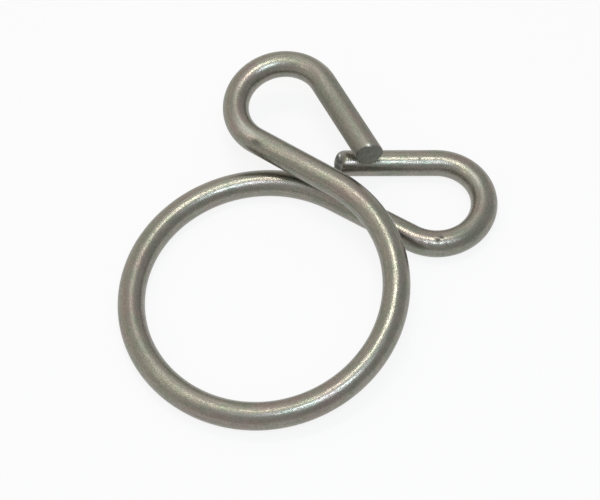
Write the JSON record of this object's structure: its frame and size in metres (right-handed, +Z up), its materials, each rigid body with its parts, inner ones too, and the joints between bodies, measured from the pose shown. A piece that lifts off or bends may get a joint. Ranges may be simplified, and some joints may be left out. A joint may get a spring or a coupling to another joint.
{
  "type": "tubing pinch clamp",
  "caption": "Spring clamp for soft tubing, bent from a round wire: a ring whose crossed sides end in finger loops that are pinched together to open it.",
  "frame": {"origin": "centre of the ring, on the surface that the clamp lies on", "axes": "+Z up along the ring's axis, the way that the tubing passes through; +Y from the ring towards the finger loops"},
  "size_m": [0.0228, 0.0286, 0.0054],
  "materials": {
    "spring_wire": "satin drawn spring wire"
  },
  "bodies": {
    "root": {"clamp_wire": "spring_wire"}
  },
  "joints": []
}
